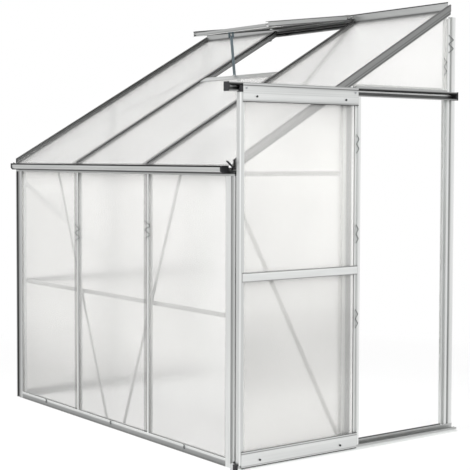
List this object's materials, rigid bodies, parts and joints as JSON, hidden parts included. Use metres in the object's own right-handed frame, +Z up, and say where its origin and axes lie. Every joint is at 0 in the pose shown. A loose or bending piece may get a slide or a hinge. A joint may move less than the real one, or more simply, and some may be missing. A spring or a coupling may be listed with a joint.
{
  "type": "lean-to greenhouse",
  "caption": "Lean-to greenhouse with an aluminium frame, twin-wall sheets, a sliding door in one gable and a hinged roof window, fixed to a house wall.",
  "frame": {"origin": "on the ground, in the middle of the four anchor holes in the gable rails' foot flanges", "axes": "+Z up, +X along the house wall towards the door gable, +Y towards the house wall"},
  "size_m": [1.963, 1.314, 1.972],
  "materials": {
    "mill_aluminium": "satin",
    "twin_wall_sheet": "frosted, ribbed inside",
    "black_plastic": "moulded",
    "zinc_plated_steel": "zinc plated",
    "spring_wire": "drawn wire"
  },
  "bodies": {
    "frame": {"base_rail_front": "mill_aluminium", "base_rail_left": "mill_aluminium", "base_rail_right": "mill_aluminium", "corner_post_left": "mill_aluminium", "corner_post_right": "mill_aluminium", "front_posts": "mill_aluminium", "gable_post_left": "mill_aluminium", "door_jamb_post": "mill_aluminium", "wall_post_left": "mill_aluminium", "wall_post_right": "mill_aluminium", "eave_beam": "mill_aluminium", "gutter": "mill_aluminium", "gutter_end_caps": "black_plastic", "rafter_foot_caps": "black_plastic", "ridge_wall_plate": "mill_aluminium", "gable_rafter_left": "mill_aluminium", "gable_rafter_right": "mill_aluminium", "mid_rafters": "mill_aluminium", "window_sill": "mill_aluminium", "head_rails": "mill_aluminium", "front_girt": "mill_aluminium", "gable_girts": "mill_aluminium", "front_braces": "mill_aluminium", "gable_braces": "mill_aluminium", "roof_braces": "mill_aluminium", "front_sheet_left": "twin_wall_sheet", "front_sheet_middle": "twin_wall_sheet", "front_sheet_right": "twin_wall_sheet", "left_gable_sheet_front": "twin_wall_sheet", "left_gable_sheet_rear": "twin_wall_sheet", "right_gable_sheet_front": "twin_wall_sheet", "gable_top_sheets": "twin_wall_sheet", "roof_sheet_left": "twin_wall_sheet", "roof_sheet_middle": "twin_wall_sheet", "roof_sheet_right": "twin_wall_sheet", "glazing_clips": "spring_wire", "frame_bolts": "zinc_plated_steel", "door_top_track": "mill_aluminium", "door_bottom_track": "mill_aluminium", "track_end_caps": "black_plastic", "stay_peg_plate": "zinc_plated_steel"},
    "door": {"door_stile_front": "mill_aluminium", "door_stile_rear": "mill_aluminium", "door_top_plate": "mill_aluminium", "door_mid_rail": "mill_aluminium", "door_bottom_plate": "mill_aluminium", "door_sheet_lower": "twin_wall_sheet", "door_sheet_upper": "twin_wall_sheet", "door_end_stop": "black_plastic", "door_guides": "black_plastic", "door_bolts": "zinc_plated_steel", "roller_axles": "zinc_plated_steel"},
    "front_roller": {"roller_front": "black_plastic"},
    "rear_roller": {"roller_rear": "black_plastic"},
    "roof_window": {"window_hinge_rail": "mill_aluminium", "window_bottom_rail": "mill_aluminium", "window_side_rails": "mill_aluminium", "window_sheet": "twin_wall_sheet", "stay_bracket": "zinc_plated_steel"},
    "stay": {"window_stay": "zinc_plated_steel"}
  },
  "joints": [
    {"name": "door_slide", "type": "slide", "parent": "frame", "child": "door", "axis": [0, 1, 0], "range_m": [0, 0.587]},
    {"name": "front_roller_turn", "type": "hinge", "parent": "door", "child": "front_roller", "pos_m": [0.972, -0.607, 1.5378], "axis": [1, 0, 0], "range_deg": [-3060, 0]},
    {"name": "rear_roller_turn", "type": "hinge", "parent": "door", "child": "rear_roller", "pos_m": [0.972, -0.025, 1.5378], "axis": [1, 0, 0], "range_deg": [-3060, 0]},
    {"name": "window_hinge", "type": "hinge", "parent": "frame", "child": "roof_window", "pos_m": [0, 0.5725, 1.9572], "axis": [1, 0, 0], "range_deg": [0, 22.8]},
    {"name": "stay_fold", "type": "hinge", "parent": "roof_window", "child": "stay", "pos_m": [0, 0.05417, 1.85544], "axis": [1, 0, 0], "range_deg": [0, 71]}
  ],
  "couplings": [
    {"joint": "front_roller_turn", "follows": "door_slide", "rad_per_m": -90.909},
    {"joint": "rear_roller_turn", "follows": "door_slide", "rad_per_m": -90.909},
    {"joint": "stay_fold", "follows": "window_hinge", "ratio": 3.1}
  ]
}
